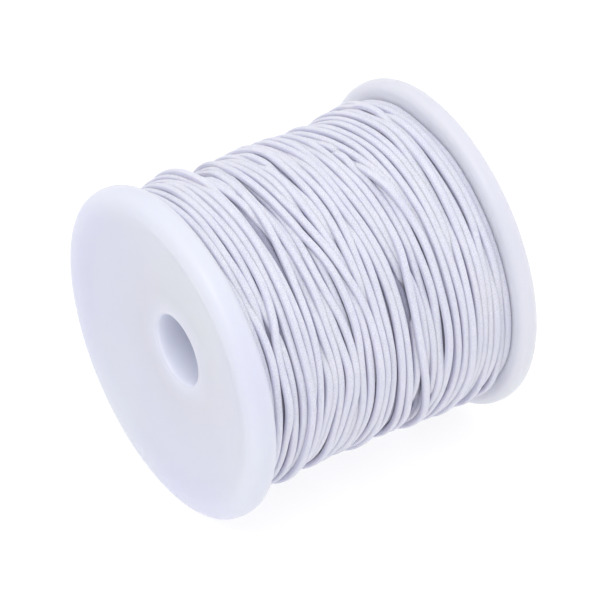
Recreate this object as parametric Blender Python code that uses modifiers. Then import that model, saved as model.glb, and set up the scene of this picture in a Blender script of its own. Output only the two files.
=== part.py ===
"""A roll of white round elastic cord on a moulded plastic spool.

Run it with blender --background --python part.py, or from the text editor.
Metres, +Z up. The spool lies on its side with its axis along X, and stands on
the small flat feet of its two rims at z = 0, with the origin between them.
"""

import math

import bmesh
import bpy
from mathutils import Matrix

MM = 0.001

# Driving dimensions of the spool
FLANGE_RADIUS = 22.0 * MM
SPOOL_LENGTH = 42.2 * MM
RIM_WIDTH = 3.7 * MM
BORE_RADIUS = 4.72 * MM
HUB_RADIUS = 6.5 * MM
DISH_DEPTH = 2.57 * MM
BEAD_HEIGHT = 1.0 * MM
BOSS_RADIUS = 7.6 * MM
MOUTH_ROUND = 0.5 * MM
FOOT_DEPTH = 0.37 * MM

# Driving dimensions of the wound cord
CORD_DIAMETER = 1.0 * MM
TURNS = 36
GROOVE_DEPTH = 0.3 * MM
SHOULDER_DROP = 1.2 * MM
TWIST_HALF_WIDTH = 0.65 * MM

# Touching pieces keep this gap
GAP = 0.3 * MM

# Sizes that follow from them
RIM_ROUND = RIM_WIDTH / 2
CREST_RADIUS = FLANGE_RADIUS - RIM_ROUND
HALF_LENGTH = SPOOL_LENGTH / 2
INNER_FACE = HALF_LENGTH - RIM_WIDTH
AXIS_HEIGHT = FLANGE_RADIUS - FOOT_DEPTH
WINDING_HALF_WIDTH = INNER_FACE - GAP
WINDING_BORE = HUB_RADIUS + GAP
PITCH = (2 * WINDING_HALF_WIDTH - CORD_DIAMETER) / TURNS

# Facets
SPOOL_STEPS = 56
WINDING_STEPS = 54
RIM_SEGMENTS = 8
BEAD_SEGMENTS = 3
MOUTH_SEGMENTS = 2
DISH_SEGMENTS = 3

# Angles round the spool go from the top towards the front, -Y
HIGH_SIDE = math.radians(-45)

# How far the wound cord reaches from the axis, along the spool:
# place along X, radius on the high side, radius on the opposite side (mm)
WINDING_RADII = [
    (-17.1, 20.0, 19.7),
    (-13.2, 20.4, 19.8),
    (-10.9, 20.7, 20.0),
    (-9.0, 20.4, 19.5),
    (-7.5, 19.4, 19.5),
    (-4.5, 19.9, 19.6),
    (-0.8, 20.2, 19.8),
    (2.5, 19.8, 19.7),
    (6.0, 19.6, 19.8),
    (9.5, 19.7, 20.2),
    (12.0, 20.1, 20.2),
    (17.1, 20.3, 20.1),
]

# Turns that cross over their neighbours:
# first angle, last angle (degrees), place at the first, place at the last, lift (mm)
CROSSING_TURNS = [
    (-40, 75, -3.2, -0.4, 0.40),
    (-30, 60, -7.2, -9.6, 0.30),
    (5, 100, 4.9, 3.6, 0.35),
    (-15, 50, 5.2, 8.6, 0.30),
    (20, 120, 14.0, 11.8, 0.30),
    (60, 150, -14.6, -12.4, 0.30),
    (140, 250, -6.0, -2.6, 0.35),
    (170, 290, 9.5, 6.2, 0.35),
    (200, 320, -12.8, -10.2, 0.30),
    (230, 330, 1.0, 3.8, 0.30),
]

# How the turns wander sideways: waves in a turn, size (mm), start
DRIFT_WAVES = [
    (0.23, 0.16, 0.4),
    (1.31, 0.12, 2.1),
    (2.77, 0.07, 4.4),
]

PLASTIC_COLOUR = (0.74, 0.745, 0.82, 1.0)
CORD_COLOUR = (0.79, 0.79, 0.88, 1.0)


def clear_scene():
    for thing in list(bpy.data.objects):
        bpy.data.objects.remove(thing, do_unlink=True)


def make_collection(name):
    collection = bpy.data.collections.new(name)
    bpy.context.scene.collection.children.link(collection)
    return collection


def make_material(name, colour, roughness):
    material = bpy.data.materials.new(name)
    material.use_nodes = True
    shader = material.node_tree.nodes["Principled BSDF"]
    shader.inputs["Base Color"].default_value = colour
    shader.inputs["Roughness"].default_value = roughness
    shader.inputs["Metallic"].default_value = 0.0
    return material


def arc(centre, radius, first, last, segments):
    """Points of an arc in the profile's plane, angles in degrees from +X."""
    points = []
    for i in range(segments + 1):
        angle = math.radians(first + (last - first) * i / segments)
        points.append((centre[0] + radius * math.cos(angle), centre[1] + radius * math.sin(angle)))
    return points


def half_spool_profile():
    """Closed outline of half the spool: (radius, distance from the middle).

    It runs from the bore's mouth out over the dished face, round the rim,
    in along the inner face and down the hub to the joint in the middle.
    """
    mouth_height = HALF_LENGTH - DISH_DEPTH
    mouth_centre = (BORE_RADIUS + MOUTH_ROUND, mouth_height - MOUTH_ROUND)
    points = arc(mouth_centre, MOUTH_ROUND, 180, 90, MOUTH_SEGMENTS)

    dish_edge = CREST_RADIUS - BEAD_HEIGHT
    dish_rise = DISH_DEPTH - BEAD_HEIGHT
    for i in range(DISH_SEGMENTS + 1):
        share = i / DISH_SEGMENTS
        radius = BOSS_RADIUS + (dish_edge - BOSS_RADIUS) * share
        points.append((radius, mouth_height + dish_rise * share ** 1.3))

    bead_centre = (CREST_RADIUS, HALF_LENGTH - BEAD_HEIGHT)
    points += arc(bead_centre, BEAD_HEIGHT, 180, 90, BEAD_SEGMENTS)[1:]
    rim_centre = (CREST_RADIUS, HALF_LENGTH - RIM_ROUND)
    points += arc(rim_centre, RIM_ROUND, 90, -90, RIM_SEGMENTS)[1:]

    points.append((HUB_RADIUS, INNER_FACE))
    points.append((HUB_RADIUS, GAP / 2))
    points.append((BORE_RADIUS, GAP / 2))
    return points


def turned_object(name, profile, steps, material, collection):
    """A closed outline turned once round local Z by a Screw modifier."""
    mesh = bpy.data.meshes.new(name)
    vertices = [(radius, 0.0, height) for radius, height in profile]
    edges = [(i, (i + 1) % len(profile)) for i in range(len(profile))]
    mesh.from_pydata(vertices, edges, [])
    mesh.materials.append(material)
    thing = bpy.data.objects.new(name, mesh)
    collection.objects.link(thing)
    screw = thing.modifiers.new("Turn", "SCREW")
    screw.axis = "Z"
    screw.angle = 2 * math.pi
    screw.steps = steps
    screw.render_steps = steps
    screw.use_merge_vertices = True
    screw.merge_threshold = 0.00001
    screw.use_smooth_shade = True
    return thing


def make_foot_cutter(name, collection):
    """The slab below the floor, which cuts the small flat foot of each rim."""
    slab_height = 5 * MM
    bpy.ops.mesh.primitive_cube_add(size=1.0)
    cutter = bpy.context.active_object
    cutter.name = name
    cutter.data.name = name
    cutter.data.transform(Matrix.Diagonal((2 * SPOOL_LENGTH, 4 * FLANGE_RADIUS, slab_height, 1.0)))
    cutter.location = (0.0, 0.0, -slab_height / 2)
    cutter.display_type = "WIRE"
    cutter.hide_render = True
    for owner in list(cutter.users_collection):
        owner.objects.unlink(cutter)
    collection.objects.link(cutter)
    return cutter


def make_half_spool(name, side, material, collection, cutter):
    """One moulded half of the spool; side is -1 for the near one, +1 for the far one."""
    half = turned_object(name, half_spool_profile(), SPOOL_STEPS, material, collection)
    half.location = (0.0, 0.0, AXIS_HEIGHT)
    half.rotation_euler = (0.0, side * math.pi / 2, 0.0)
    cut = half.modifiers.new("Foot", "BOOLEAN")
    cut.operation = "DIFFERENCE"
    cut.solver = "EXACT"
    cut.object = cutter
    return half


def winding_radius(x, angle):
    """How far the wound cord reaches from the axis at a place and an angle."""
    place = min(max(x / MM, WINDING_RADII[0][0]), WINDING_RADII[-1][0])
    for before, after in zip(WINDING_RADII, WINDING_RADII[1:]):
        if place <= after[0]:
            share = (place - before[0]) / (after[0] - before[0])
            share = share * share * (3 - 2 * share)
            high = before[1] + (after[1] - before[1]) * share
            low = before[2] + (after[2] - before[2]) * share
            break
    middle = (high + low) / 2
    swing = (high - low) / 2
    return (middle + swing * math.cos(angle - HIGH_SIDE)) * MM


def crossing_lift(x, angle):
    """How far the turns that cross over stand out at a place and an angle."""
    lift = 0.0
    degrees = math.degrees(angle) % 360
    for first, last, first_x, last_x, height in CROSSING_TURNS:
        along = ((degrees - first) % 360) / (last - first)
        if along > 1.0:
            continue
        middle = (first_x + (last_x - first_x) * along) * MM
        across = (x - middle) / TWIST_HALF_WIDTH
        rise = math.sin(math.pi * along) ** 0.5
        lift = max(lift, height * MM * rise * math.exp(-across * across))
    return lift


def turn_place(turns_laid):
    """Where the cord lies along X once so many turns are laid."""
    fade = min(1.0, turns_laid / 2, (TURNS - turns_laid) / 2)
    drift = 0.0
    for waves, size, start in DRIFT_WAVES:
        drift += size * MM * math.sin(2 * math.pi * waves * turns_laid + start)
    first = -WINDING_HALF_WIDTH + CORD_DIAMETER / 2
    return first + PITCH * turns_laid + drift * fade


def wound_point(x, angle, radius):
    return (x, -radius * math.sin(angle), AXIS_HEIGHT + radius * math.cos(angle))


def join_rows(shape, row_a, row_b, closed):
    """A strip of four-sided faces between two rows of vertices."""
    count = len(row_a)
    faces = count if closed else count - 1
    for i in range(faces):
        j = (i + 1) % count
        shape.faces.new((row_a[i], row_a[j], row_b[j], row_b[i]))


def end_rows(shape, x):
    """The two round edges of the winding's flat end at x: at the bore and at the shoulder."""
    bore = []
    shoulder = []
    for i in range(WINDING_STEPS):
        angle = 2 * math.pi * i / WINDING_STEPS
        bore.append(shape.verts.new(wound_point(x, angle, WINDING_BORE)))
        radius = winding_radius(x, angle) - SHOULDER_DROP
        shoulder.append(shape.verts.new(wound_point(x, angle, radius)))
    return bore, shoulder


def make_winding(name, material, collection):
    """The wound cord as one solid: a spiral of ridged turns round the hub."""
    shape = bmesh.new()
    steps = WINDING_STEPS
    last_step = TURNS * steps

    ridge = []
    for i in range(last_step + 1):
        laid = i / steps
        angle = 2 * math.pi * laid
        x = turn_place(laid)
        radius = winding_radius(x, angle) + crossing_lift(x, angle)
        ridge.append(shape.verts.new(wound_point(x, angle, radius)))

    groove = []
    for i in range(last_step - steps + 1):
        laid = i / steps
        angle = 2 * math.pi * laid
        x = (turn_place(laid) + turn_place(laid + 1)) / 2
        radius = winding_radius(x, angle) + crossing_lift(x, angle) - GROOVE_DEPTH
        groove.append(shape.verts.new(wound_point(x, angle, radius)))

    near_bore, near_shoulder = end_rows(shape, -WINDING_HALF_WIDTH)
    far_bore, far_shoulder = end_rows(shape, WINDING_HALF_WIDTH)

    join_rows(shape, near_bore, near_shoulder, True)
    join_rows(shape, far_shoulder, far_bore, True)
    join_rows(shape, far_bore, near_bore, True)
    join_rows(shape, ridge[:last_step - steps + 1], groove, False)
    join_rows(shape, groove, ridge[steps:], False)

    # The first and the last turn meet the shoulders, and a small face closes each step
    first_turn = ridge[:steps + 1]
    last_turn = ridge[last_step - steps:]
    join_rows(shape, near_shoulder + near_shoulder[:1], first_turn, False)
    join_rows(shape, last_turn, far_shoulder + far_shoulder[:1], False)
    shape.faces.new((near_shoulder[0], first_turn[0], groove[0], first_turn[-1]))
    shape.faces.new((far_shoulder[0], last_turn[-1], groove[-1], last_turn[0]))
    bmesh.ops.recalc_face_normals(shape, faces=shape.faces)

    mesh = bpy.data.meshes.new(name)
    shape.to_mesh(mesh)
    shape.free()
    mesh.materials.append(material)
    mesh.shade_smooth()
    mesh.set_sharp_from_angle(angle=math.radians(60))
    thing = bpy.data.objects.new(name, mesh)
    collection.objects.link(thing)
    return thing


def main():
    clear_scene()
    parts = make_collection("elastic_cord_roll")
    cutters = make_collection("cutters")
    plastic = make_material("white_plastic", PLASTIC_COLOUR, 0.35)
    far_plastic = make_material("white_plastic_far", PLASTIC_COLOUR, 0.35)
    cord = make_material("white_cord", CORD_COLOUR, 0.85)
    cutter = make_foot_cutter("floor_cutter", cutters)
    make_half_spool("spool_near", -1, plastic, parts, cutter)
    make_half_spool("spool_far", 1, far_plastic, parts, cutter)
    make_winding("winding", cord, parts)


main()
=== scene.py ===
"""A roll of white round elastic cord on a moulded plastic spool, dressed for its picture.

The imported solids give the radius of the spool, its length and the height of its axis.
Its two halves are turned again from a finer profile. The wound cord is laid turn by
turn, settled against its neighbours and drawn as one long tube.
"""

import math

import bpy
import numpy as np
from mathutils import Matrix, Vector


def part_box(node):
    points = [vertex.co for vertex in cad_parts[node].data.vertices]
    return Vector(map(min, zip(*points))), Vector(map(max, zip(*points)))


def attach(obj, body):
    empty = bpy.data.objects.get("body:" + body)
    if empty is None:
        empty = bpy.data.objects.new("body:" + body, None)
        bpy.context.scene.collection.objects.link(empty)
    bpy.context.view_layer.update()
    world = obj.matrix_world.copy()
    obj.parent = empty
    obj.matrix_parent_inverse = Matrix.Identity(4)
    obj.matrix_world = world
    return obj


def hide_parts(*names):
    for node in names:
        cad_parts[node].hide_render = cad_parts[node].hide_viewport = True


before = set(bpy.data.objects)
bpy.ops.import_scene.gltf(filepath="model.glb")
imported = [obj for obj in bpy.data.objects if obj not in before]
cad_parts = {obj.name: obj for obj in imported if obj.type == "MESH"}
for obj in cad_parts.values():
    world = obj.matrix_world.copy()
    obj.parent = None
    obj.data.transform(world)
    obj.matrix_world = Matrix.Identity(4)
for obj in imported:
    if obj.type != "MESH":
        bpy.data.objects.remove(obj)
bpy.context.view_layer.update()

MM = 0.001
SEED = 11

# Sizes that the solids give
NEAR_LOW, NEAR_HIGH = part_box("spool_near")
FLANGE_RADIUS = (NEAR_HIGH.y - NEAR_LOW.y) / 2
AXIS_HEIGHT = NEAR_HIGH.z - FLANGE_RADIUS
HALF_LENGTH = -NEAR_LOW.x

# Where the winding ends, along X
NEAR_END = -17.1 * MM
FAR_END = 18.2 * MM

# Sizes of the moulded spool
NEAR_RIM_WIDTH = 3.7 * MM
FAR_RIM_WIDTH = 2.6 * MM
WEB_THICKNESS = 1.13 * MM
BORE_RADIUS = 4.72 * MM
HUB_RADIUS = 6.5 * MM
BOSS_RADIUS = 7.6 * MM
BEAD_RISE = 0.28 * MM
BEAD_SPREAD = 3.0 * MM
MOUTH_ROUND = 0.6 * MM
RIM_SQUARENESS = 2.5
RIM_SHOULDER = 0.4 * MM
RIM_STANDS_OUT = 0.045 * MM
HUB_FILLET = 0.4 * MM
HALF_JOINT_GAP = 0.15 * MM
SPOOL_STEPS = 192
DISH_POINTS = 49
RIM_POINTS = 37
DISH_CURVE = 1.3

# Where light comes through the plastic, round the far end of the winding
LIT_RING_START = 20.3 * MM
LIT_RING_END = 21.7 * MM
LIT_DEPTH = 0.2 * MM

# Sizes of the cord
CORD_RADIUS = 0.48 * MM
SECTION_WIDTH = 1.08
SECTION_HEIGHT = 0.95
SECTION_SQUARENESS = 2.5
LAYER_DROP = 0.78 * MM
TOP_SIDES = 12
TOP_SECTIONS = 160
UNDER_SIDES = 8
UNDER_SECTIONS = 96
CORE_DROP = 1.65 * MM
CORE_STEPS = 90
CORE_POINTS_A_TURN = 4
SLICES = 120

# Angles round the spool go from the top towards the front, -Y, in degrees
HIGH_SIDE = -45.0
SEAM_ANGLE = -40.0

# How far the wound cord reaches from the axis, along the spool:
# place along X, radius on the high side, radius on the opposite side (mm)
WINDING_RADII = [
    (-17.1, 20.0, 19.7),
    (-13.2, 20.4, 19.8),
    (-10.9, 20.7, 20.0),
    (-9.0, 20.4, 19.5),
    (-7.5, 19.4, 19.5),
    (-4.5, 19.9, 19.6),
    (-0.8, 20.2, 19.8),
    (2.5, 19.8, 19.7),
    (6.0, 19.6, 19.8),
    (9.5, 19.7, 20.2),
    (12.0, 20.1, 20.2),
    (15.0, 20.2, 20.1),
    (18.2, 19.7, 19.9),
]

# The turns of the outer layer, in the order in which they are laid.
# Place along X (mm) at these angles, then how it lies there: o over its
# neighbours, - among them, l a little lower, u under them
TURN_ANGLES = (-40, -20, 0, 20, 40, 60, 80, 100, 120)
TURNS = [
    ((-16.9, -16.9, -16.9, -16.9, -16.9, -16.9, -16.9, -16.9, -16.9), "ulllo--lu"),
    ((-16.4, -16.4, -16.2, -16.1, -16.0, -15.8, -16.1, -16.6, -16.8), "oo---oooo"),
    ((-15.3, -15.2, -15.2, -15.3, -15.3, -15.6, -15.9, -16.1, -16.2), "-----uuuu"),
    ((-14.1, -14.0, -14.1, -14.2, -14.3, -13.8, -13.8, -13.8, -13.9), "-----l---"),
    ((-13.3, -13.2, -13.2, -13.2, -13.6, -14.6, -14.9, -15.0, -15.2), "----ooo--"),
    ((-12.5, -12.4, -12.3, -12.4, -12.5, -12.5, -12.3, -12.6, -12.8), "---------"),
    ((-11.6, -11.5, -11.4, -11.3, -11.5, -11.5, -11.35, -11.9, -12.5), "----oo-oo"),
    ((-10.7, -10.7, -10.8, -10.85, -10.5, -10.6, -10.9, -11.6, -12.1), "-----l-uu"),
    ((-10.6, -10.2, -9.3, -8.6, -8.1, -7.9, -7.5, -8.4, -9.1), "---lul---"),
    ((-9.0, -8.8, -8.6, -8.5, -8.4, -8.4, -8.5, -9.4, -10.0), "uuuuuullu"),
    ((-6.9, -7.5, -8.1, -8.7, -9.2, -9.4, -9.7, -10.7, -11.3), "-ooo-----"),
    ((-6.0, -6.6, -7.4, -7.4, -7.1, -6.8, -6.6, -7.2, -7.9), "-looo----"),
    ((-7.4, -7.2, -6.9, -6.7, -6.7, -6.0, -5.7, -6.1, -6.8), "uuul-l---"),
    ((-6.2, -5.9, -5.7, -5.7, -5.8, -4.9, -4.6, -5.1, -5.7), "lll------"),
    ((-5.3, -5.5, -5.65, -5.3, -3.9, -3.6, -3.6, -3.8, -4.1), "----oo---"),
    ((-4.9, -4.9, -4.9, -4.8, -4.7, -4.4, -4.2, -4.4, -4.8), "uuuuulull"),
    ((-4.6, -4.6, -4.4, -3.95, -2.6, -1.5, -1.5, -1.4, -1.7), "---oooo--"),
    ((-3.7, -3.7, -3.6, -3.6, -3.0, -2.5, -2.6, -2.7, -3.1), "---lu----"),
    ((-2.7, -2.7, -2.7, -2.6, -2.1, -1.6, -1.5, -1.5, -1.7), "----luuuu"),
    ((-2.0, -1.9, -2.2, -1.7, -1.9, -1.4, -0.7, -0.7, -0.8), "lll-uuuuu"),
    ((-0.9, -0.9, -0.9, -0.8, -1.1, -1.0, -1.1, -1.3, -1.4), "-----uuuu"),
    ((-0.1, -0.1, 0.1, 0.3, -0.1, -0.4, -0.4, -0.7, -0.9), "------ooo"),
    ((0.7, 0.7, 0.8, 0.7, 0.9, 0.8, 0.7, 0.6, 0.7), "--ll-----"),
    ((1.5, 1.5, 1.5, 1.5, 2.0, 2.1, 2.0, 2.2, 2.6), "---------"),
    ((2.3, 2.3, 2.4, 2.6, 3.0, 3.1, 3.1, 3.2, 3.9), "-------oo"),
    ((3.4, 3.3, 3.4, 3.8, 4.4, 4.7, 4.5, 4.4, 3.2), "----luu-l"),
    ((4.5, 4.4, 4.4, 4.7, 5.0, 5.9, 6.0, 6.3, 6.4), "-----llu-"),
    ((5.2, 5.3, 5.4, 5.6, 5.7, 4.9, 4.9, 5.6, 6.5), "---oooooo"),
    ((6.0, 6.1, 6.5, 6.9, 6.95, 6.9, 6.95, 6.9, 6.8), "uull-ul-u"),
    ((5.9, 6.1, 6.6, 8.2, 8.95, 8.95, 8.75, 8.5, 8.2), "---oooo--"),
    ((6.8, 7.0, 7.5, 8.9, 9.4, 9.2, 9.1, 9.0, 8.9), "----uuuuu"),
    ((7.3, 7.5, 7.8, 7.95, 7.9, 7.85, 7.8, 7.6, 7.4), "llll-----"),
    ((8.1, 8.3, 8.8, 9.4, 9.8, 9.9, 9.8, 9.7, 9.6), "---luuuuu"),
    ((8.9, 9.2, 10.1, 10.4, 10.4, 10.3, 10.2, 10.0, 9.6), "---------"),
    ((10.3, 10.6, 11.2, 11.55, 11.6, 11.4, 11.3, 10.9, 10.4), "---------"),
    ((11.5, 11.7, 12.3, 12.4, 12.3, 12.1, 11.8, 11.6, 11.5), "-----luuu"),
    ((13.0, 13.2, 13.5, 13.05, 12.85, 12.5, 12.3, 11.9, 11.2), "---ll-ooo"),
    ((14.5, 14.4, 14.4, 14.2, 14.0, 13.75, 13.55, 13.2, 12.7), "lloo-----"),
    ((15.2, 15.3, 15.2, 14.95, 14.85, 14.5, 14.5, 14.2, 13.9), "---l-olll"),
    ((15.9, 15.9, 15.9, 16.0, 16.0, 15.6, 15.3, 14.9, 14.6), "--ooo-l-o"),
    ((15.6, 15.9, 16.5, 16.6, 16.4, 16.3, 16.3, 15.9, 15.5), "luuuul---"),
    ((16.3, 16.6, 17.0, 17.0, 17.0, 17.0, 17.0, 17.0, 16.8), "--loo-llo"),
    ((17.6, 17.8, 18.1, 18.1, 18.1, 18.1, 18.1, 18.0, 18.0), "--l-ll--l"),
]

# What the letters mean: how far a turn starts above or below its neighbours (mm)
LAY_HEIGHT = {"o": 0.35, "-": 0.0, "l": -0.25, "u": -0.75}

# The camera, set from the outlines of both flanges in the photograph
CAMERA_AZIMUTH = -33.51
CAMERA_ELEVATION = 40.23
CAMERA_DISTANCE = 574.2 * MM
CAMERA_LENS = 274.6
CAMERA_SHIFT_RIGHT = -0.11 * MM
CAMERA_SHIFT_UP = -0.31 * MM

# The light and the floor
WORLD_STRENGTH = 0.85
FLOOR_GLOW = 0.76
FLOOR_RADIUS = 1.5
FLOOR_COLOURS = ((0.28, 0.28, 0.284), (0.30, 0.30, 0.304))

# Colours of the plastic: its darker and its lighter cast, and where light comes through
NEAR_PLASTIC = ((0.622, 0.630, 0.745), (0.640, 0.658, 0.728), (0.765, 0.785, 0.940))
# The far half is a darker, greyer copy of the same plastic: painted shade
FAR_SHADED_PLASTIC = ((0.605, 0.612, 0.680), (0.625, 0.632, 0.680), (0.690, 0.695, 0.750))

# Colours of the cord: at its brightest and its dullest, and on its flanks, where the darker colour is
# painted shade in the creases between turns
COVER_COLOURS = ((0.722, 0.728, 0.830), (0.675, 0.685, 0.794), (0.575, 0.573, 0.705))
# The cord of the layer below and of the core: the same cord painted darker, as painted shade under the
# outer layer
INNER_SHADED_COLOURS = ((0.380, 0.383, 0.495), (0.340, 0.343, 0.457), (0.285, 0.286, 0.390))


def new_material(name):
    """A new material, with its node tree and its shader."""
    material = bpy.data.materials.new(name)
    material.use_nodes = True
    tree = material.node_tree
    shader = tree.nodes["Principled BSDF"]
    return material, tree, shader


def add_node(tree, kind, **values):
    """A new node with the named inputs set."""
    node = tree.nodes.new(kind)
    for name, value in values.items():
        node.inputs[name].default_value = value
    return node


def math_node(tree, operation, first, second=None, third=None):
    """A Math node; each operand is a number or another node's output."""
    node = tree.nodes.new("ShaderNodeMath")
    node.operation = operation
    for socket, value in zip(node.inputs, (first, second, third)):
        if value is None:
            continue
        if isinstance(value, (int, float)):
            socket.default_value = value
        else:
            tree.links.new(value, socket)
    return node.outputs[0]


def colour_ramp(tree, factor, low, high, low_place=0.3, high_place=0.7):
    ramp = tree.nodes.new("ShaderNodeValToRGB")
    ramp.color_ramp.elements[0].position = low_place
    ramp.color_ramp.elements[0].color = (*low, 1.0)
    ramp.color_ramp.elements[1].position = high_place
    ramp.color_ramp.elements[1].color = (*high, 1.0)
    tree.links.new(factor, ramp.inputs[0])
    return ramp.outputs[0]


def noise(tree, vector, scale, detail=2.0, roughness=0.5):
    node = add_node(tree, "ShaderNodeTexNoise", Scale=scale, Detail=detail, Roughness=roughness)
    tree.links.new(vector, node.inputs["Vector"])
    return node.outputs[0]


def add_bump(tree, shader, height, distance, strength=1.0):
    bump = add_node(tree, "ShaderNodeBump", Strength=strength, Distance=distance)
    tree.links.new(height, bump.inputs["Height"])
    tree.links.new(bump.outputs[0], shader.inputs["Normal"])


def map_range(tree, value, low, high, to_low, to_high):
    """A Map Range node, from low and high to to_low and to_high."""
    limits = {"From Min": low, "From Max": high, "To Min": to_low, "To Max": to_high}
    node = add_node(tree, "ShaderNodeMapRange", **limits)
    tree.links.new(value, node.inputs["Value"])
    return node


def vector_math(tree, operation, vector, other=None):
    """A Vector Math node; the other vector, where there is one, is constant."""
    node = tree.nodes.new("ShaderNodeVectorMath")
    node.operation = operation
    tree.links.new(vector, node.inputs[0])
    if other is not None:
        node.inputs[1].default_value = other
    return node


def mix_colours(tree, factor, first, second):
    """A Mix node for colours; each is a tuple or another node's output."""
    node = tree.nodes.new("ShaderNodeMix")
    node.data_type = "RGBA"
    tree.links.new(factor, node.inputs["Factor"])
    for name, value in (("A", first), ("B", second)):
        if isinstance(value, tuple):
            node.inputs[name].default_value = (*value, 1.0)
        else:
            tree.links.new(value, node.inputs[name])
    return node.outputs["Result"]


def lit_through(tree, place):
    """1 on the bore's wall and by the far end of the winding, where light comes through."""
    offset = vector_math(tree, "SUBTRACT", place, (0.0, 0.0, AXIS_HEIGHT))
    across = vector_math(tree, "MULTIPLY", offset.outputs[0], (0.0, 1.0, 1.0))
    radius = vector_math(tree, "LENGTH", across.outputs[0]).outputs["Value"]
    bore_wall = map_range(tree, radius, BORE_RADIUS, BORE_RADIUS + MOUTH_ROUND / 3, 1.0, 0.0)
    by_winding = map_range(tree, radius, LIT_RING_START, LIT_RING_END, 1.0, 0.0)
    along = tree.nodes.new("ShaderNodeSeparateXYZ")
    tree.links.new(place, along.inputs[0])
    face = HALF_LENGTH - FAR_RIM_WIDTH + LIT_DEPTH
    past_winding = math_node(tree, "GREATER_THAN", along.outputs[0], FAR_END)
    before_face = math_node(tree, "LESS_THAN", along.outputs[0], face)
    inner_face = math_node(tree, "MULTIPLY", past_winding, before_face)
    ring = math_node(tree, "MULTIPLY", inner_face, by_winding.outputs[0])
    return math_node(tree, "MAXIMUM", bore_wall.outputs[0], ring)


def make_plastic(name, low, high, lit):
    """Milky moulded plastic with a soft gloss, faintly mottled and never quite flat."""
    cast_scale = 38.0
    handling_scale = 160.0
    least_roughness = 0.34
    more_roughness = 0.16
    skin_scale = 420.0
    skin_depth = 0.02 * MM
    material, tree, shader = new_material(name)
    place = tree.nodes.new("ShaderNodeTexCoord").outputs["Object"]
    cast = noise(tree, place, cast_scale, 1.5)
    colour = colour_ramp(tree, cast, low, high, 0.38, 0.62)
    colour = mix_colours(tree, lit_through(tree, place), colour, lit)
    tree.links.new(colour, shader.inputs["Base Color"])
    handling = noise(tree, place, handling_scale, 4.0, 0.6)
    roughness = math_node(tree, "MULTIPLY_ADD", handling, more_roughness, least_roughness)
    tree.links.new(roughness, shader.inputs["Roughness"])
    shader.inputs["IOR"].default_value = 1.49
    shader.inputs["Subsurface Weight"].default_value = 0.8
    shader.inputs["Subsurface Radius"].default_value = (1.0, 1.0, 1.1)
    shader.inputs["Subsurface Scale"].default_value = 3.2 * MM
    add_bump(tree, shader, noise(tree, place, skin_scale, 3.0), skin_depth, 0.6)
    return material


def make_cord_material(name, bright, dull, side):
    """A finely braided cover: crossing ridges along the cord, thin fibres and a soft sheen.

    The UV map gives the place round the cord, with 0 on the outside, and the length
    along it in millimetres. The flanks are painted darker, as painted shade in the creases.
    """
    carriers = 8
    ridge_pitch = 0.42
    slip_scale = 900.0
    most_slip = 7.0
    fibre_scale = 4200.0
    ridge_share = 0.14
    cover_depth = 0.09 * MM
    least_shade = 0.72
    shade_range = 0.42
    wander_scale = 150.0
    flank_start = 0.42
    flank_end = 0.84
    full_turn = 2 * math.pi
    material, tree, shader = new_material(name)
    coordinates = tree.nodes.new("ShaderNodeTexCoord")
    place = coordinates.outputs["Object"]
    parts = tree.nodes.new("ShaderNodeSeparateXYZ")
    tree.links.new(coordinates.outputs["UV"], parts.inputs[0])
    round_cord = math_node(tree, "MULTIPLY", parts.outputs[0], full_turn * carriers)
    along_cord = math_node(tree, "MULTIPLY", parts.outputs[1], full_turn / ridge_pitch)
    slip = math_node(tree, "MULTIPLY", noise(tree, place, slip_scale, 2.0), most_slip)
    along_cord = math_node(tree, "ADD", along_cord, slip)
    left = math_node(tree, "SINE", math_node(tree, "ADD", round_cord, along_cord))
    right = math_node(tree, "SINE", math_node(tree, "SUBTRACT", round_cord, along_cord))
    braid = math_node(tree, "MAXIMUM", left, right)
    fibres = noise(tree, place, fibre_scale, 3.0, 0.65)
    height = math_node(tree, "MULTIPLY_ADD", braid, ridge_share, fibres)
    add_bump(tree, shader, height, cover_depth)

    wander = noise(tree, place, wander_scale, 3.0, 0.6)
    colour = colour_ramp(tree, wander, dull, bright)
    shade = math_node(tree, "MULTIPLY_ADD", height, shade_range, least_shade)
    shaded = vector_math(tree, "SCALE", colour)
    tree.links.new(shade, shaded.inputs["Scale"])
    # Painted shade: towards the flanks the colour is mixed into the darker flank colour, so the creases
    # between turns look shaded
    upright = math_node(tree, "COSINE", math_node(tree, "MULTIPLY", parts.outputs[0], full_turn))
    top = map_range(tree, upright, flank_start, flank_end, 0.0, 1.0)
    top.interpolation_type = "SMOOTHSTEP"
    colour = mix_colours(tree, top.outputs[0], side, shaded.outputs[0])
    tree.links.new(colour, shader.inputs["Base Color"])
    shader.inputs["Roughness"].default_value = 0.75
    shader.inputs["Subsurface Weight"].default_value = 0.5
    shader.inputs["Subsurface Radius"].default_value = (0.9, 0.9, 1.2)
    shader.inputs["Subsurface Scale"].default_value = 0.5 * MM
    shader.inputs["Sheen Weight"].default_value = 0.25
    shader.inputs["Sheen Roughness"].default_value = 0.5
    shader.inputs["Sheen Tint"].default_value = (0.95, 0.95, 1.0, 1.0)
    return material


def make_floor_material(name):
    """A pale table that glows softly, as for pictures without shadows."""
    material, tree, shader = new_material(name)
    place = tree.nodes.new("ShaderNodeTexCoord").outputs["Object"]
    colour = colour_ramp(tree, noise(tree, place, 6.0), *FLOOR_COLOURS)
    tree.links.new(colour, shader.inputs["Base Color"])
    shader.inputs["Roughness"].default_value = 0.8
    shader.inputs["Emission Color"].default_value = (1.0, 1.0, 1.0, 1.0)
    shader.inputs["Emission Strength"].default_value = FLOOR_GLOW
    return material


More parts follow.
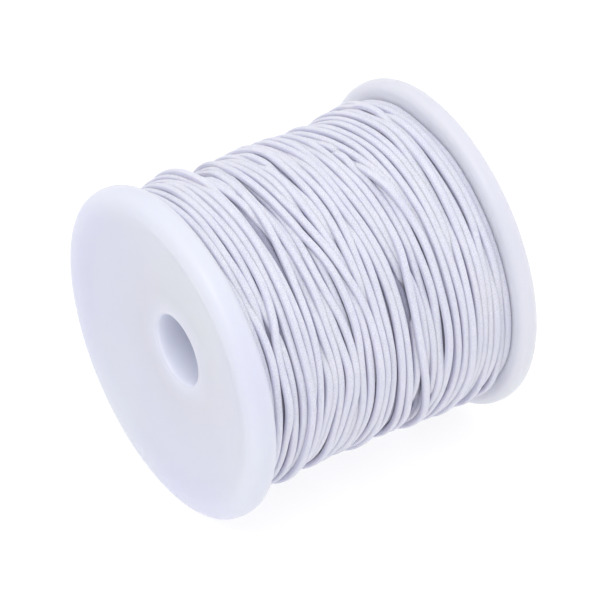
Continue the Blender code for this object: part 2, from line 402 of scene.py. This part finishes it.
def mesh_object(name, vertices, faces, material):
    """A smooth-shaded object from vertices and faces, with its material."""
    mesh = bpy.data.meshes.new(name)
    mesh.from_pydata([tuple(v) for v in vertices], [], [tuple(f) for f in faces])
    mesh.materials.append(material)
    mesh.update()
    mesh.shade_smooth()
    thing = bpy.data.objects.new(name, mesh)
    bpy.context.scene.collection.objects.link(thing)
    return thing


def arc(centre, radius, first, last, segments):
    """Points of an arc in the profile's plane, angles in degrees from +X."""
    angles = np.radians(np.linspace(first, last, segments + 1))
    return [(centre[0] + radius * math.cos(a), centre[1] + radius * math.sin(a)) for a in angles]


def rounded(value, squareness):
    """A cosine or sine pushed outwards, for a section with flatter sides than a circle's."""
    return np.sign(value) * np.abs(value) ** (2 / squareness)


def half_spool_profile(rim_width):
    """Closed outline of half the spool: (radius, distance from the middle).

    From the flat ring round the bore the face rises as a shallow dish, and
    swells softly into the fully rounded rim.
    """
    rim_round = rim_width / 2
    crest = FLANGE_RADIUS - rim_round
    inner_face = HALF_LENGTH - rim_width
    mouth_height = inner_face + WEB_THICKNESS
    points = arc((BORE_RADIUS + MOUTH_ROUND, mouth_height - MOUTH_ROUND), MOUTH_ROUND, 180, 90, 8)

    dish_edge = crest - RIM_SHOULDER
    rise = HALF_LENGTH - RIM_STANDS_OUT - mouth_height
    bead_rise = min(BEAD_RISE, rise / 3)
    for radius in np.linspace(BOSS_RADIUS, dish_edge, DISH_POINTS):
        share = (radius - BOSS_RADIUS) / (dish_edge - BOSS_RADIUS)
        swell = min(max((radius - dish_edge) / BEAD_SPREAD + 1.0, 0.0), 1.0)
        swell = swell * swell * (3 - 2 * swell)
        dish = (rise - bead_rise) * share ** DISH_CURVE
        points.append((radius, mouth_height + dish + bead_rise * swell))
    rim_angles = np.radians(np.linspace(90, -90, RIM_POINTS))
    rim_reach = crest + rim_round * rounded(np.cos(rim_angles), RIM_SQUARENESS)
    rim_height = HALF_LENGTH - rim_round + rim_round * rounded(np.sin(rim_angles), RIM_SQUARENESS)
    points += list(zip(rim_reach, rim_height))

    for radius in np.linspace(crest, HUB_RADIUS + HUB_FILLET, 8)[1:]:
        points.append((radius, inner_face))
    points += arc((HUB_RADIUS + HUB_FILLET, inner_face - HUB_FILLET), HUB_FILLET, 90, 180, 4)[1:]
    for height in np.linspace(inner_face - HUB_FILLET, HALF_JOINT_GAP, 5)[1:]:
        points.append((HUB_RADIUS, height))
    for height in np.linspace(HALF_JOINT_GAP, mouth_height - MOUTH_ROUND, 8)[:-1]:
        points.append((BORE_RADIUS, height))
    return points


def make_half_spool(name, node, side, rim_width, material):
    """One moulded half of the spool: the profile turned round the axis, with its flat foot."""
    profile = half_spool_profile(rim_width)
    count = len(profile)
    vertices = []
    for step in range(SPOOL_STEPS):
        turn = 2 * math.pi * step / SPOOL_STEPS
        for radius, distance in profile:
            height = AXIS_HEIGHT + radius * math.cos(turn)
            vertices.append((side * distance, -radius * math.sin(turn), max(height, 0.0)))
    faces = []
    for step in range(SPOOL_STEPS):
        here = step * count
        there = (step + 1) % SPOOL_STEPS * count
        for i in range(count):
            j = (i + 1) % count
            face = (here + i, here + j, there + j, there + i)
            faces.append(face if side > 0 else face[::-1])
    half = mesh_object(name, vertices, faces, material)
    half.data.set_sharp_from_angle(angle=math.radians(50))
    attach(half, "root")
    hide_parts(node)


def winding_radius(x, angle):
    """How far the wound cord reaches from the axis; arrays of metres and degrees."""
    places = np.array([row[0] for row in WINDING_RADII]) * MM
    sides = []
    for column in (1, 2):
        values = np.array([row[column] for row in WINDING_RADII]) * MM
        sides.append(smooth_steps(x, places, values))
    high, low = sides
    return (high + low) / 2 + (high - low) / 2 * np.cos(np.radians(angle - HIGH_SIDE))


def smooth_steps(at, places, values):
    """Values between the places, eased at each place."""
    at = np.clip(at, places[0], places[-1])
    index = np.clip(np.searchsorted(places, at, side="right") - 1, 0, len(places) - 2)
    share = (at - places[index]) / (places[index + 1] - places[index])
    share = share * share * (3 - 2 * share)
    return values[index] + (values[index + 1] - values[index]) * share


def through_points(at, places, values):
    """A smooth curve through unevenly spaced points (cubic, with tangents from the neighbours)."""
    slopes = np.gradient(values, places)
    index = np.clip(np.searchsorted(places, at, side="right") - 1, 0, len(places) - 2)
    step = places[index + 1] - places[index]
    s = (at - places[index]) / step
    return (
        values[index] * (1 + 2 * s) * (1 - s) ** 2
        + slopes[index] * step * s * (1 - s) ** 2
        + values[index + 1] * s * s * (3 - 2 * s)
        + slopes[index + 1] * step * s * s * (s - 1)
    )


def outer_layer_route(random):
    """Where the outer layer's cord is meant to lie: place along X and height over its layer.

    The front of each turn follows the table. Round the back, which the photograph
    doesn't show, each turn wanders on to the start of the next, and every other one lies
    higher, so that they cross over and under each other.
    """
    back_angles = (160, 200, 240, 280)
    full_turn = 360.0
    back_wander = 0.38
    front_wander = 0.08
    top_wander = 0.14
    top_lift = 0.18
    front_lift = 0.15
    back_height = 0.24
    back_lift = 0.12
    places, along, heights = [], [], []
    for i, (row, lay) in enumerate(TURNS):
        for angle, x, letter in zip(TURN_ANGLES, row, lay):
            wander, lift = (top_wander, top_lift) if angle < 0 else (front_wander, front_lift)
            places.append(i * full_turn + angle - SEAM_ANGLE)
            along.append(x + random.normal(0.0, wander))
            heights.append(LAY_HEIGHT[letter] + random.normal(0.0, lift))
        last_x = row[-1]
        next_x = TURNS[i + 1][0][0] if i + 1 < len(TURNS) else last_x
        gap = SEAM_ANGLE + full_turn - TURN_ANGLES[-1]
        for angle in back_angles:
            share = (angle - TURN_ANGLES[-1]) / gap
            places.append(i * full_turn + angle - SEAM_ANGLE)
            along.append(last_x + (next_x - last_x) * share + random.normal(0.0, back_wander))
            heights.append((back_height if i % 2 else -back_height) + random.normal(0.0, back_lift))
    places.append(len(TURNS) * full_turn)
    along.append(along[-1])
    heights.append(LAY_HEIGHT["u"])
    places = np.array(places)
    at = np.arange(len(TURNS) * SLICES) * full_turn / SLICES
    x = through_points(at, places, np.array(along)) * MM
    height = smooth_steps(at, places, np.array(heights)) * MM
    return x, height


def under_layer_route(random, turns):
    """The layer below runs back the other way, with its own small wandering."""
    knots_a_turn = 5
    wander = 0.22
    at = np.arange(turns * SLICES) / SLICES
    knots = np.arange(turns * knots_a_turn + 2) / knots_a_turn
    drift = through_points(at, knots, random.normal(0.0, wander, len(knots))) * MM
    first = FAR_END - CORD_RADIUS
    last = NEAR_END + CORD_RADIUS
    x = first + (last - first) * at / turns + drift
    return x, np.zeros_like(x)


def settle(x, r, x_goal, r_goal, hold, give):
    """Presses the turns together until none lies in another by more than the cord gives."""
    rounds = 110
    touching = 0.91 * 2 * CORD_RADIUS
    push = 0.34
    bend = 0.22
    sink = 0.10
    spare = 0.22 * MM - CORD_RADIUS
    turns = len(x) // SLICES
    slice_give = give.reshape(turns, SLICES)
    share = slice_give[:, None, :] / (slice_give[:, None, :] + slice_give[None, :, :])
    for _ in range(rounds):
        for line in (x, r):
            smooth = line.copy()
            smooth[1:-1] = (line[:-2] + line[2:]) / 2
            line += bend * (smooth - line)
        x += hold * (x_goal - x)
        r += sink * (r_goal - r)
        slice_x = x.reshape(turns, SLICES)
        slice_r = r.reshape(turns, SLICES)
        aside = slice_x[:, None, :] - slice_x[None, :, :]
        above = slice_r[:, None, :] - slice_r[None, :, :]
        apart = np.sqrt(aside ** 2 + above ** 2) + 1e-9
        squeeze = np.clip(touching - apart, 0.0, None)
        for i in range(turns):
            squeeze[i, i] = 0.0
        squeeze *= 2 * share * push / apart
        x += (squeeze * aside).sum(axis=1).reshape(-1)
        r += (squeeze * above).sum(axis=1).reshape(-1)
        np.clip(x, NEAR_END - spare, FAR_END + spare, out=x)
    return x, r


def lay_winding():
    """The settled routes of the outer layer and of the layer below: (x, angle, radius) of each.

    The front turns are held most firmly to their places, and what lies low gives way most.
    """
    front_middle = 45.0
    front_limit = -0.1
    front_hold = 0.45
    back_hold = 0.06
    under_hold = 0.03
    low_give = 3.0
    under_give = 6.0
    lowest = -LAY_HEIGHT["u"] * MM
    random = np.random.default_rng(SEED)
    top_x, top_height = outer_layer_route(random)
    top_turns = len(TURNS)
    under_turns = top_turns - 1
    under_x, under_height = under_layer_route(random, under_turns)

    x = np.concatenate([top_x, under_x])
    angle = SEAM_ANGLE + (np.arange(len(x)) % SLICES) * 360.0 / SLICES
    height = np.concatenate([top_height, under_height - LAYER_DROP])
    r_goal = winding_radius(x, angle) - CORD_RADIUS + height
    front = np.cos(np.radians(angle - front_middle)) > front_limit
    cut = len(top_x)
    is_top = np.arange(len(x)) < cut
    hold = np.where(is_top, np.where(front, front_hold, back_hold), under_hold)
    give = np.where(is_top, 1.0 + low_give * np.clip(-height / lowest, 0.0, 1.0), under_give)
    x, r = settle(x.copy(), r_goal.copy(), x, r_goal, hold, give)
    return (x[:cut], angle[:cut], r[:cut]), (x[cut:], angle[cut:], r[cut:])


def resample(route, sections):
    """A route with more or fewer sections a turn, kept smooth."""
    x, _, r = route
    turns = len(x) / SLICES
    before = np.arange(len(x)) / SLICES
    at = np.arange(int((turns - 1 / SLICES) * sections)) / sections
    angle = SEAM_ANGLE + at * 360.0
    return through_points(at, before, x), angle, through_points(at, before, r)


def make_tube(name, route, sides, thickness, material):
    """The cord as one tube along its route, with its length in millimetres in the UV map."""
    x, angle, r = route
    turn = np.radians(angle)
    outward = np.stack([np.zeros_like(turn), -np.sin(turn), np.cos(turn)], axis=1)
    points = outward * r[:, None]
    points[:, 0] = x
    points[:, 2] += AXIS_HEIGHT
    tangent = np.gradient(points, axis=0)
    tangent /= np.linalg.norm(tangent, axis=1)[:, None]
    normal = outward - tangent * (outward * tangent).sum(axis=1)[:, None]
    normal /= np.linalg.norm(normal, axis=1)[:, None]
    side = np.cross(tangent, normal)

    around = 2 * np.pi * np.arange(sides) / sides
    high = SECTION_HEIGHT * rounded(np.cos(around), SECTION_SQUARENESS)
    wide = SECTION_WIDTH * rounded(np.sin(around), SECTION_SQUARENESS)
    spokes = normal[:, None, :] * high[None, :, None] + side[:, None, :] * wide[None, :, None]
    rings = points[:, None, :] + spokes * thickness[:, None, None]
    vertices = rings.reshape(-1, 3)

    count = len(points)
    first = np.arange(count - 1)[:, None] * sides
    here = np.arange(sides)[None, :]
    there = (here + 1) % sides
    quads = np.stack([first + here, first + there, first + sides + there, first + sides + here], axis=-1)
    faces = [tuple(q) for q in quads.reshape(-1, 4).tolist()]
    faces.append(tuple(range(sides - 1, -1, -1)))
    faces.append(tuple(range((count - 1) * sides, count * sides)))
    tube = mesh_object(name, vertices, faces, material)

    length = np.concatenate([[0.0], np.cumsum(np.linalg.norm(np.diff(points, axis=0), axis=1))]) / MM
    left = np.broadcast_to(here, (count - 1, sides)) / sides
    right = left + 1 / sides
    u = np.stack([left, right, right, left], axis=-1)
    start = np.broadcast_to(length[:-1, None], (count - 1, sides))
    end = np.broadcast_to(length[1:, None], (count - 1, sides))
    v = np.stack([start, start, end, end], axis=-1)
    uv = np.stack([u, v], axis=-1).reshape(-1, 2)
    caps = np.zeros((2 * sides, 2))
    layer = tube.data.uv_layers.new(name="UVMap")
    layer.data.foreach_set("uv", np.concatenate([uv, caps]).ravel())
    return tube


def make_core(name, material):
    """The layers underneath as one ridged drum round the hub."""
    turns = len(TURNS)
    columns = turns * CORE_POINTS_A_TURN + 1
    x = np.linspace(NEAR_END, FAR_END, columns)
    bore = HUB_RADIUS + 2 * HALF_JOINT_GAP
    ridge_depth = 0.16 * MM
    vertices = []
    for step in range(CORE_STEPS):
        angle = 360.0 * step / CORE_STEPS
        phase = 2 * np.pi * (np.arange(columns) / CORE_POINTS_A_TURN - step / CORE_STEPS)
        radius = winding_radius(x, angle) - CORE_DROP + ridge_depth * np.cos(phase)
        turn = math.radians(angle)
        outline = [(x[0], bore)] + list(zip(x, radius)) + [(x[-1], bore)]
        for place, reach in outline:
            vertices.append((place, -reach * math.sin(turn), AXIS_HEIGHT + reach * math.cos(turn)))
    count = columns + 2
    faces = []
    for step in range(CORE_STEPS):
        here = step * count
        there = (step + 1) % CORE_STEPS * count
        for i in range(count):
            j = (i + 1) % count
            faces.append((here + i, there + i, there + j, here + j))
    core = mesh_object(name, vertices, faces, material)
    core.data.set_sharp_from_angle(angle=math.radians(60))
    return core


def make_winding():
    """The wound cord: the outer layer, the one that shows between its turns, and the core; the last two
    are painted darker, as painted shade.
    """
    swells_a_turn = 6
    swell_spread = 0.012
    cover = make_cord_material("cord_cover", *COVER_COLOURS)
    # The layer below and the core get a darker copy of the cord: painted shade where they lie under the
    # outer layer
    inner = make_cord_material("cord_inner_painted_shade", *INNER_SHADED_COLOURS)
    top_route, under_route = lay_winding()
    top = resample(top_route, TOP_SECTIONS)
    under = resample(under_route, UNDER_SECTIONS)
    random = np.random.default_rng(SEED + 1)
    knots = np.linspace(0, len(top[0]) - 1, len(TURNS) * swells_a_turn)
    swell = through_points(np.arange(len(top[0])), knots, random.normal(1.0, swell_spread, len(knots)))
    pieces = [
        make_tube("cord_outer_layer", top, TOP_SIDES, CORD_RADIUS * swell, cover),
        make_tube("cord_under_layer", under, UNDER_SIDES, np.full(len(under[0]), CORD_RADIUS), inner),
        make_core("cord_core", inner),
    ]
    for piece in pieces:
        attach(piece, "root")
        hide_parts("winding")


def make_camera():
    azimuth = math.radians(CAMERA_AZIMUTH)
    elevation = math.radians(CAMERA_ELEVATION)
    back = Vector((
        math.sin(azimuth) * math.cos(elevation),
        -math.cos(azimuth) * math.cos(elevation),
        math.sin(elevation),
    ))
    right = Vector((math.cos(azimuth), math.sin(azimuth), 0.0))
    up = back.cross(right)
    data = bpy.data.cameras.new("camera")
    data.lens = CAMERA_LENS
    data.sensor_width = 36.0
    data.clip_start = 0.01
    data.clip_end = 20.0
    camera = bpy.data.objects.new("camera", data)
    bpy.context.scene.collection.objects.link(camera)
    centre = Vector((0.0, 0.0, AXIS_HEIGHT))
    place = centre + back * CAMERA_DISTANCE + right * CAMERA_SHIFT_RIGHT + up * CAMERA_SHIFT_UP
    turn = Matrix((right, up, back)).transposed().to_4x4()
    camera.matrix_world = Matrix.Translation(place) @ turn
    bpy.context.scene.camera = camera


def make_floor():
    bpy.ops.mesh.primitive_circle_add(vertices=96, radius=FLOOR_RADIUS, fill_type="NGON")
    floor = bpy.context.active_object
    floor.name = "floor"
    floor.data.materials.append(make_floor_material("pale_floor"))


def make_area_light(name, place, size, power, colour):
    """A square soft light aimed at the roll."""
    data = bpy.data.lights.new(name, "AREA")
    data.size = size
    data.energy = power
    data.color = colour
    light = bpy.data.objects.new(name, data)
    bpy.context.scene.collection.objects.link(light)
    light.location = place
    aim = Vector((0.0, 0.0, AXIS_HEIGHT)) - light.location
    light.rotation_euler = aim.to_track_quat("-Z", "Y").to_euler()


def make_lights():
    world = bpy.data.worlds.new("studio")
    world.use_nodes = True
    background = world.node_tree.nodes["Background"]
    background.inputs["Color"].default_value = (1.0, 1.0, 1.0, 1.0)
    background.inputs["Strength"].default_value = WORLD_STRENGTH
    bpy.context.scene.world = world
    make_area_light("top", (0.10, 0.10, 0.60), 0.60, 0.5, (1.0, 1.0, 1.0))
    make_area_light("key", (-0.25, -0.15, 0.55), 0.35, 1.2, (1.0, 1.0, 1.0))
    make_area_light("fill", (0.45, -0.35, 0.35), 0.45, 0.4, (1.0, 1.0, 1.0))
    settings = bpy.context.scene.view_settings
    settings.view_transform = "Standard"
    settings.look = "None"
    settings.exposure = 0.0
    settings.gamma = 1.0


make_camera()
make_floor()
make_lights()
near_plastic = make_plastic("milky_plastic_near", *NEAR_PLASTIC)
# The far half's plastic is painted darker and greyer than the near half's: painted shade
far_shaded_plastic = make_plastic("milky_plastic_far_shaded", *FAR_SHADED_PLASTIC)
make_half_spool("near_half_spool", "spool_near", -1, NEAR_RIM_WIDTH, near_plastic)
make_half_spool("far_half_spool", "spool_far", 1, FAR_RIM_WIDTH, far_shaded_plastic)
make_winding()
